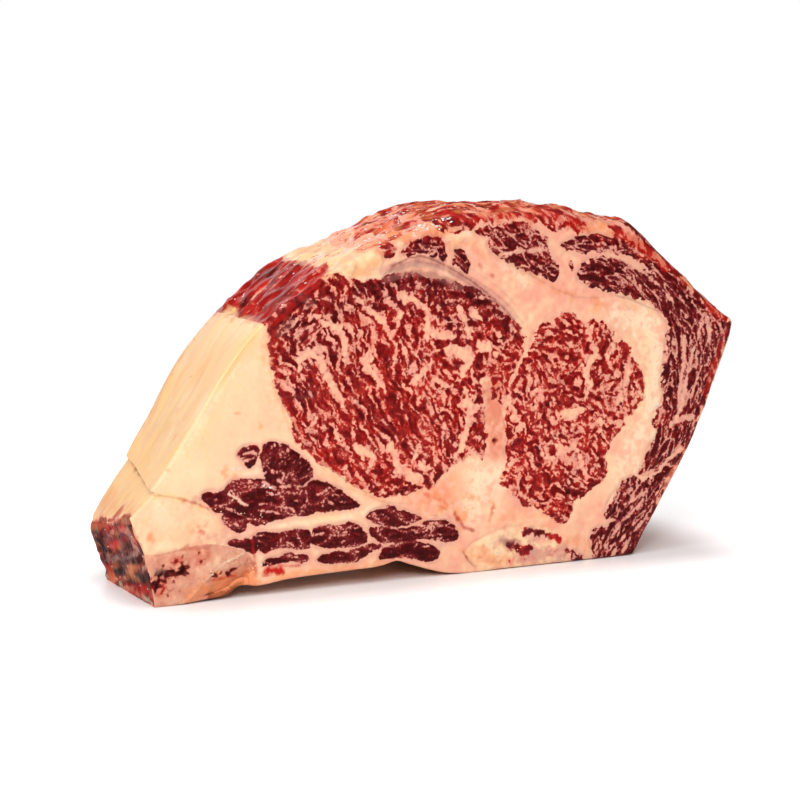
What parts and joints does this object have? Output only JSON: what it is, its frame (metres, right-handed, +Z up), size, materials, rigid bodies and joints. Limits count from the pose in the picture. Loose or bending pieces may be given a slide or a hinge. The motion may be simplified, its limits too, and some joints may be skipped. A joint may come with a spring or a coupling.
{
  "type": "raw beef rib roast",
  "caption": "Raw bone-in beef rib roast standing on its bone edge: marbled muscles set in cream fat, a fat cap, a sawn rib end and an arched base.",
  "frame": {"origin": "under the middle of the roast's bounding box, on the surface it stands on", "axes": "+Z up; +X along the roast from the sawn rib end to the spine side; +Y from the front cut to the back cut, through the thickness"},
  "size_m": [0.2744, 0.056, 0.1491],
  "materials": {
    "fat": "waxy cream fat, slightly moist",
    "fresh_lean": "moist red lean with cream marbling",
    "cap_lean": "moist dark red lean with fine marbling",
    "dark_lean": "moist purple-brown lean with few thin seams",
    "rib": "sawn pink-tan bone with dark marrow",
    "spine": "sawn peach bone and gristle"
  },
  "bodies": {
    "root": {"fat_body": "fat", "eye_muscle": "fresh_lean", "inner_muscle": "fresh_lean", "cap_muscle_upper": "cap_lean", "cap_muscle_lower": "cap_lean", "top_muscle_outer": "fresh_lean", "top_muscle_middle": "cap_lean", "top_muscle_small": "fresh_lean", "top_muscle_left": "cap_lean", "top_muscle_tip": "fresh_lean", "rib_muscle_main": "dark_lean", "rib_muscle_upper": "dark_lean", "rib_muscle_island": "dark_lean", "rib_muscle_oval": "dark_lean", "rib_muscle_end": "dark_lean", "rib_strip_a": "dark_lean", "rib_strip_b": "dark_lean", "rib_strip_c": "dark_lean", "rib_strip_d": "dark_lean", "rib_strip_e": "dark_lean", "rib_strip_f": "dark_lean", "rib_strip_g": "dark_lean", "foot_muscle": "cap_lean", "rib_bone": "rib", "backbone_tip": "spine"}
  },
  "joints": []
}
